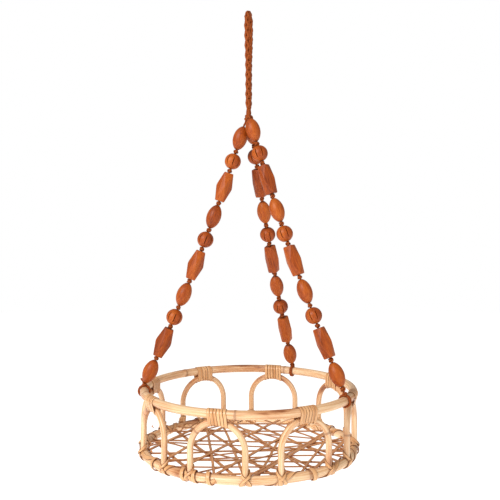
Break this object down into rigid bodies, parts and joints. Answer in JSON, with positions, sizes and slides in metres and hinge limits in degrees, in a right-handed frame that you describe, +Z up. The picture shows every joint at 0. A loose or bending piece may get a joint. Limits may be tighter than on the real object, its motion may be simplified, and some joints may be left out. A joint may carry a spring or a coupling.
{
  "type": "hanging planter basket",
  "caption": "Round hanging basket of bent cane arches between two hoops, carried by three strands of knotted wooden beads from one braided loop.",
  "frame": {"origin": "inside top of the braided hanging loop, where the hook bears; the object hangs below it", "axes": "+Z up; -Y is the front, the side between the left and right strands; +X to the right"},
  "size_m": [0.304, 0.303, 0.612],
  "materials": {
    "cane": "peeled pale cane, satin, with brown skin patches",
    "cane_peel": "flat strip of cane peel, satin, darker at its edges",
    "floor_strip": "thin flat cane strip, dry and matt",
    "stained_bead_wood": "orange-brown stained wood with a thin satin varnish",
    "waxed_cord": "reddish-brown waxed cord, low sheen"
  },
  "bodies": {
    "loop_bight": {"loop_bight": "waxed_cord"},
    "loop_legs": {"loop_legs": "waxed_cord"},
    "crown": {"crown_knot": "waxed_cord"},
    "basket": {"rim_hoop": "cane", "base_hoop": "cane", "arch_1": "cane", "arch_2": "cane", "arch_3": "cane", "arch_4": "cane", "arch_5": "cane", "arch_6": "cane", "arch_7": "cane", "arch_8": "cane", "rim_binding_1": "cane_peel", "rim_binding_2": "cane_peel", "rim_binding_3": "cane_peel", "rim_binding_4": "cane_peel", "rim_binding_5": "cane_peel", "rim_binding_6": "cane_peel", "rim_binding_7": "cane_peel", "rim_binding_8": "cane_peel", "foot_bindings": "cane_peel", "floor_strips_across": "floor_strip", "floor_strips_rising": "floor_strip", "floor_strips_falling": "floor_strip", "strand_cord_left": "waxed_cord", "strand_cord_right": "waxed_cord", "strand_cord_back": "waxed_cord"},
    "left_bead_01_oval": {"left_bead_01_oval": "stained_bead_wood"},
    "left_bead_02_round": {"left_bead_02_round": "stained_bead_wood"},
    "left_bead_03_facet": {"left_bead_03_facet": "stained_bead_wood"},
    "left_bead_04_oval": {"left_bead_04_oval": "stained_bead_wood"},
    "left_bead_05_round": {"left_bead_05_round": "stained_bead_wood"},
    "left_bead_06_facet": {"left_bead_06_facet": "stained_bead_wood"},
    "left_bead_07_oval": {"left_bead_07_oval": "stained_bead_wood"},
    "left_bead_08_round": {"left_bead_08_round": "stained_bead_wood"},
    "left_bead_09_facet": {"left_bead_09_facet": "stained_bead_wood"},
    "left_bead_10_oval": {"left_bead_10_oval": "stained_bead_wood"},
    "right_bead_01_oval": {"right_bead_01_oval": "stained_bead_wood"},
    "right_bead_02_round": {"right_bead_02_round": "stained_bead_wood"},
    "right_bead_03_facet": {"right_bead_03_facet": "stained_bead_wood"},
    "right_bead_04_oval": {"right_bead_04_oval": "stained_bead_wood"},
    "right_bead_05_round": {"right_bead_05_round": "stained_bead_wood"},
    "right_bead_06_facet": {"right_bead_06_facet": "stained_bead_wood"},
    "right_bead_07_oval": {"right_bead_07_oval": "stained_bead_wood"},
    "right_bead_08_round": {"right_bead_08_round": "stained_bead_wood"},
    "right_bead_09_facet": {"right_bead_09_facet": "stained_bead_wood"},
    "right_bead_10_oval": {"right_bead_10_oval": "stained_bead_wood"},
    "back_bead_01_oval": {"back_bead_01_oval": "stained_bead_wood"},
    "back_bead_02_round": {"back_bead_02_round": "stained_bead_wood"},
    "back_bead_03_facet": {"back_bead_03_facet": "stained_bead_wood"},
    "back_bead_04_oval": {"back_bead_04_oval": "stained_bead_wood"},
    "back_bead_05_round": {"back_bead_05_round": "stained_bead_wood"},
    "back_bead_06_facet": {"back_bead_06_facet": "stained_bead_wood"},
    "back_bead_07_oval": {"back_bead_07_oval": "stained_bead_wood"},
    "back_bead_08_round": {"back_bead_08_round": "stained_bead_wood"},
    "back_bead_09_facet": {"back_bead_09_facet": "stained_bead_wood"},
    "back_bead_10_oval": {"back_bead_10_oval": "stained_bead_wood"}
  },
  "joints": [
    {"name": "turn", "type": "hinge", "parent": "loop_bight", "child": "loop_legs", "pos_m": [0, 0, -0.0125], "axis": [0, 0, 1], "range_deg": [-60, 60]},
    {"name": "swing_forward", "type": "hinge", "parent": "loop_legs", "child": "crown", "pos_m": [0, 0, -0.1416], "axis": [1, 0, 0], "range_deg": [-15, 15]},
    {"name": "swing_sideways", "type": "hinge", "parent": "crown", "child": "basket", "pos_m": [0, 0, -0.1416], "axis": [0, 1, 0], "range_deg": [-15, 15]},
    {"name": "left_bead_01_oval_spin", "type": "hinge", "parent": "basket", "child": "left_bead_01_oval", "pos_m": [-0.01187, -0.00073, -0.169], "axis": [0.2968, 0.0267, 0.9546], "continuous": true},
    {"name": "left_bead_02_round_spin", "type": "hinge", "parent": "basket", "child": "left_bead_02_round", "pos_m": [-0.02208, -0.00164, -0.20121], "axis": [0.3089, 0.0278, 0.9507], "continuous": true},
    {"name": "left_bead_03_facet_spin", "type": "hinge", "parent": "basket", "child": "left_bead_03_facet", "pos_m": [-0.03407, -0.00272, -0.23702], "axis": [0.3224, 0.029, 0.9462], "continuous": true},
    {"name": "left_bead_04_oval_spin", "type": "hinge", "parent": "basket", "child": "left_bead_04_oval", "pos_m": [-0.0484, -0.00401, -0.2781], "axis": [0.3378, 0.0304, 0.9407], "continuous": true},
    {"name": "left_bead_05_round_spin", "type": "hinge", "parent": "basket", "child": "left_bead_05_round", "pos_m": [-0.05997, -0.00505, -0.30978], "axis": [0.3498, 0.0314, 0.9363], "continuous": true},
    {"name": "left_bead_06_facet_spin", "type": "hinge", "parent": "basket", "child": "left_bead_06_facet", "pos_m": [-0.07349, -0.00626, -0.345], "axis": [0.3631, 0.0326, 0.9312], "continuous": true},
    {"name": "left_bead_07_oval_spin", "type": "hinge", "parent": "basket", "child": "left_bead_07_oval", "pos_m": [-0.08959, -0.00771, -0.38539], "axis": [0.3783, 0.034, 0.9251], "continuous": true},
    {"name": "left_bead_08_round_spin", "type": "hinge", "parent": "basket", "child": "left_bead_08_round", "pos_m": [-0.10252, -0.00887, -0.41655], "axis": [0.3901, 0.035, 0.9201], "continuous": true},
    {"name": "left_bead_09_facet_spin", "type": "hinge", "parent": "basket", "child": "left_bead_09_facet", "pos_m": [-0.11757, -0.01022, -0.45118], "axis": [0.4031, 0.0362, 0.9144], "continuous": true},
    {"name": "left_bead_10_oval_spin", "type": "hinge", "parent": "basket", "child": "left_bead_10_oval", "pos_m": [-0.13543, -0.01183, -0.49089], "axis": [0.418, 0.0376, 0.9077], "continuous": true},
    {"name": "right_bead_01_oval_spin", "type": "hinge", "parent": "basket", "child": "right_bead_01_oval", "pos_m": [0.00591, -0.01117, -0.15868], "axis": [-0.2612, 0.1338, 0.956], "continuous": true},
    {"name": "right_bead_02_round_spin", "type": "hinge", "parent": "basket", "child": "right_bead_02_round", "pos_m": [0.01497, -0.01581, -0.19126], "axis": [-0.2715, 0.1391, 0.9523], "continuous": true},
    {"name": "right_bead_03_facet_spin", "type": "hinge", "parent": "basket", "child": "right_bead_03_facet", "pos_m": [0.0256, -0.02125, -0.22745], "axis": [-0.2831, 0.145, 0.9481], "continuous": true},
    {"name": "right_bead_04_oval_spin", "type": "hinge", "parent": "basket", "child": "right_bead_04_oval", "pos_m": [0.03828, -0.02775, -0.26892], "axis": [-0.2964, 0.1518, 0.9429], "continuous": true},
    {"name": "right_bead_05_round_spin", "type": "hinge", "parent": "basket", "child": "right_bead_05_round", "pos_m": [0.04852, -0.03299, -0.301], "axis": [-0.3066, 0.157, 0.9388], "continuous": true},
    {"name": "right_bead_06_facet_spin", "type": "hinge", "parent": "basket", "child": "right_bead_06_facet", "pos_m": [0.06047, -0.03911, -0.33662], "axis": [-0.318, 0.1629, 0.934], "continuous": true},
    {"name": "right_bead_07_oval_spin", "type": "hinge", "parent": "basket", "child": "right_bead_07_oval", "pos_m": [0.07467, -0.04639, -0.37745], "axis": [-0.3311, 0.1696, 0.9282], "continuous": true},
    {"name": "right_bead_08_round_spin", "type": "hinge", "parent": "basket", "child": "right_bead_08_round", "pos_m": [0.0861, -0.05224, -0.40902], "axis": [-0.3412, 0.1747, 0.9236], "continuous": true},
    {"name": "right_bead_09_facet_spin", "type": "hinge", "parent": "basket", "child": "right_bead_09_facet", "pos_m": [0.09937, -0.05904, -0.44409], "axis": [-0.3524, 0.1805, 0.9183], "continuous": true},
    {"name": "right_bead_10_oval_spin", "type": "hinge", "parent": "basket", "child": "right_bead_10_oval", "pos_m": [0.11509, -0.06709, -0.48427], "axis": [-0.3652, 0.187, 0.9119], "continuous": true},
    {"name": "back_bead_01_oval_spin", "type": "hinge", "parent": "basket", "child": "back_bead_01_oval", "pos_m": [0.00479, 0.01212, -0.15979], "axis": [-0.1383, -0.2534, 0.9574], "continuous": true},
    {"name": "back_bead_02_round_spin", "type": "hinge", "parent": "basket", "child": "back_bead_02_round", "pos_m": [0.00967, 0.02104, -0.19289], "axis": [-0.1441, -0.2639, 0.9537], "continuous": true},
    {"name": "back_bead_03_facet_spin", "type": "hinge", "parent": "basket", "child": "back_bead_03_facet", "pos_m": [0.01538, 0.03151, -0.22961], "axis": [-0.1504, -0.2755, 0.9494], "continuous": true},
    {"name": "back_bead_04_oval_spin", "type": "hinge", "parent": "basket", "child": "back_bead_04_oval", "pos_m": [0.0222, 0.044, -0.27161], "axis": [-0.1577, -0.2889, 0.9443], "continuous": true},
    {"name": "back_bead_05_round_spin", "type": "hinge", "parent": "basket", "child": "back_bead_05_round", "pos_m": [0.02774, 0.05414, -0.30419], "axis": [-0.1634, -0.2993, 0.9401], "continuous": true},
    {"name": "back_bead_06_facet_spin", "type": "hinge", "parent": "basket", "child": "back_bead_06_facet", "pos_m": [0.03419, 0.06596, -0.34034], "axis": [-0.1697, -0.3108, 0.9352], "continuous": true},
    {"name": "back_bead_07_oval_spin", "type": "hinge", "parent": "basket", "child": "back_bead_07_oval", "pos_m": [0.04186, 0.08, -0.38168], "axis": [-0.1769, -0.324, 0.9294], "continuous": true},
    {"name": "back_bead_08_round_spin", "type": "hinge", "parent": "basket", "child": "back_bead_08_round", "pos_m": [0.04806, 0.09135, -0.41375], "axis": [-0.1825, -0.3342, 0.9247], "continuous": true},
    {"name": "back_bead_09_facet_spin", "type": "hinge", "parent": "basket", "child": "back_bead_09_facet", "pos_m": [0.05525, 0.10453, -0.44931], "axis": [-0.1886, -0.3455, 0.9193], "continuous": true},
    {"name": "back_bead_10_oval_spin", "type": "hinge", "parent": "basket", "child": "back_bead_10_oval", "pos_m": [0.06377, 0.12012, -0.48999], "axis": [-0.1957, -0.3584, 0.9128], "continuous": true}
  ]
}
